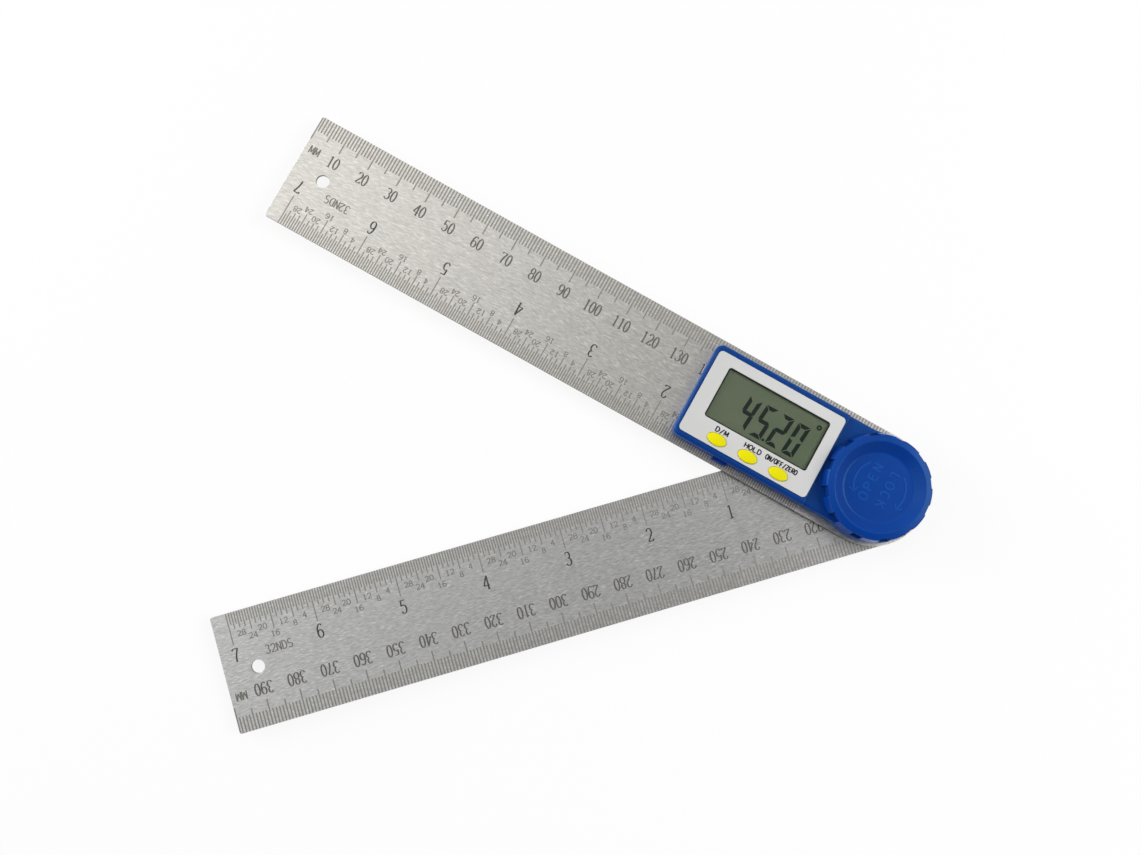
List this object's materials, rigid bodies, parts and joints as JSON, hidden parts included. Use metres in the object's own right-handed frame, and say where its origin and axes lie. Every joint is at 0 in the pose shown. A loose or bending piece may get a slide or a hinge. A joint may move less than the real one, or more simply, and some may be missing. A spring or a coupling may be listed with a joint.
{
  "type": "digital protractor",
  "caption": "Digital protractor of hinged steel rulers with a display housing, push buttons and a notched lock knob over the pivot.",
  "frame": {"origin": "on the pivot axis, at the underside of the rear cover, where the part rests", "axes": "+Z along the pivot axis, up through the display and the knob; the upper ruler runs along -X from the pivot to its tip; +Y points to the upper ruler's millimetre edge"},
  "size_m": [0.2175, 0.1715, 0.0134],
  "materials": {
    "ruler_steel": "brushed lengthwise, satin",
    "housing_plastic": "moulded, semi-gloss",
    "knob_plastic": "moulded, semi-gloss",
    "cover_plastic": "moulded, fine matt texture",
    "face_plate": "satin silver grey",
    "clear_window": "clear",
    "lcd": "grey-green reflective display",
    "black_rubber": "matt",
    "board": "green solder mask",
    "chip": "black",
    "small_steel": "bright",
    "low_friction_plastic": "white",
    "brass": "machined",
    "button_yellow": "semi-gloss"
  },
  "bodies": {
    "upper_arm": {"upper_ruler": "ruler_steel", "housing": "housing_plastic", "housing_screws": "small_steel", "face_plate": "face_plate", "display_lens": "clear_window", "lcd_panel": "lcd", "lcd_connectors": "black_rubber", "circuit_board": "board", "board_screws": "small_steel", "switch_domes": "small_steel", "controller_chip": "chip", "contact_negative": "small_steel", "contact_positive": "small_steel"},
    "lower_arm": {"lower_ruler": "ruler_steel", "rear_cover": "cover_plastic", "rear_hub": "housing_plastic", "hub_screws": "small_steel", "pivot_bolt": "small_steel", "friction_ring": "low_friction_plastic", "rotor_disc": "board"},
    "thrust_carrier": {"thrust_ring": "small_steel"},
    "knob": {"lock_knob": "knob_plastic", "knob_insert": "brass"},
    "battery_drawer": {"battery_tray": "housing_plastic", "coin_cell": "small_steel"},
    "mode_button": {"button_mode": "button_yellow"},
    "hold_button": {"button_hold": "button_yellow"},
    "power_button": {"button_power": "button_yellow"}
  },
  "joints": [
    {"name": "ruler_pivot", "type": "hinge", "parent": "upper_arm", "child": "lower_arm", "pos_m": [0, 0, 0], "axis": [0, 0, 1], "continuous": true},
    {"name": "knob_rise", "type": "slide", "parent": "upper_arm", "child": "thrust_carrier", "axis": [0, 0, 1], "range_m": [0, 0.00036]},
    {"name": "knob_turn", "type": "hinge", "parent": "thrust_carrier", "child": "knob", "pos_m": [0, 0, 0], "axis": [0, 0, 1], "range_deg": [0, 180]},
    {"name": "battery_slide", "type": "slide", "parent": "upper_arm", "child": "battery_drawer", "axis": [0, -1, 0], "range_m": [0, 0.02535]},
    {"name": "mode_press", "type": "slide", "parent": "upper_arm", "child": "mode_button", "axis": [0, 0, -1], "range_m": [0, 0.00035], "stiffness_N_per_m": 1000},
    {"name": "hold_press", "type": "slide", "parent": "upper_arm", "child": "hold_button", "axis": [0, 0, -1], "range_m": [0, 0.00035], "stiffness_N_per_m": 1000},
    {"name": "power_press", "type": "slide", "parent": "upper_arm", "child": "power_button", "axis": [0, 0, -1], "range_m": [0, 0.00035], "stiffness_N_per_m": 1000}
  ],
  "couplings": [
    {"joint": "knob_rise", "follows": "knob_turn", "m_per_rad": 0.00011141}
  ]
}
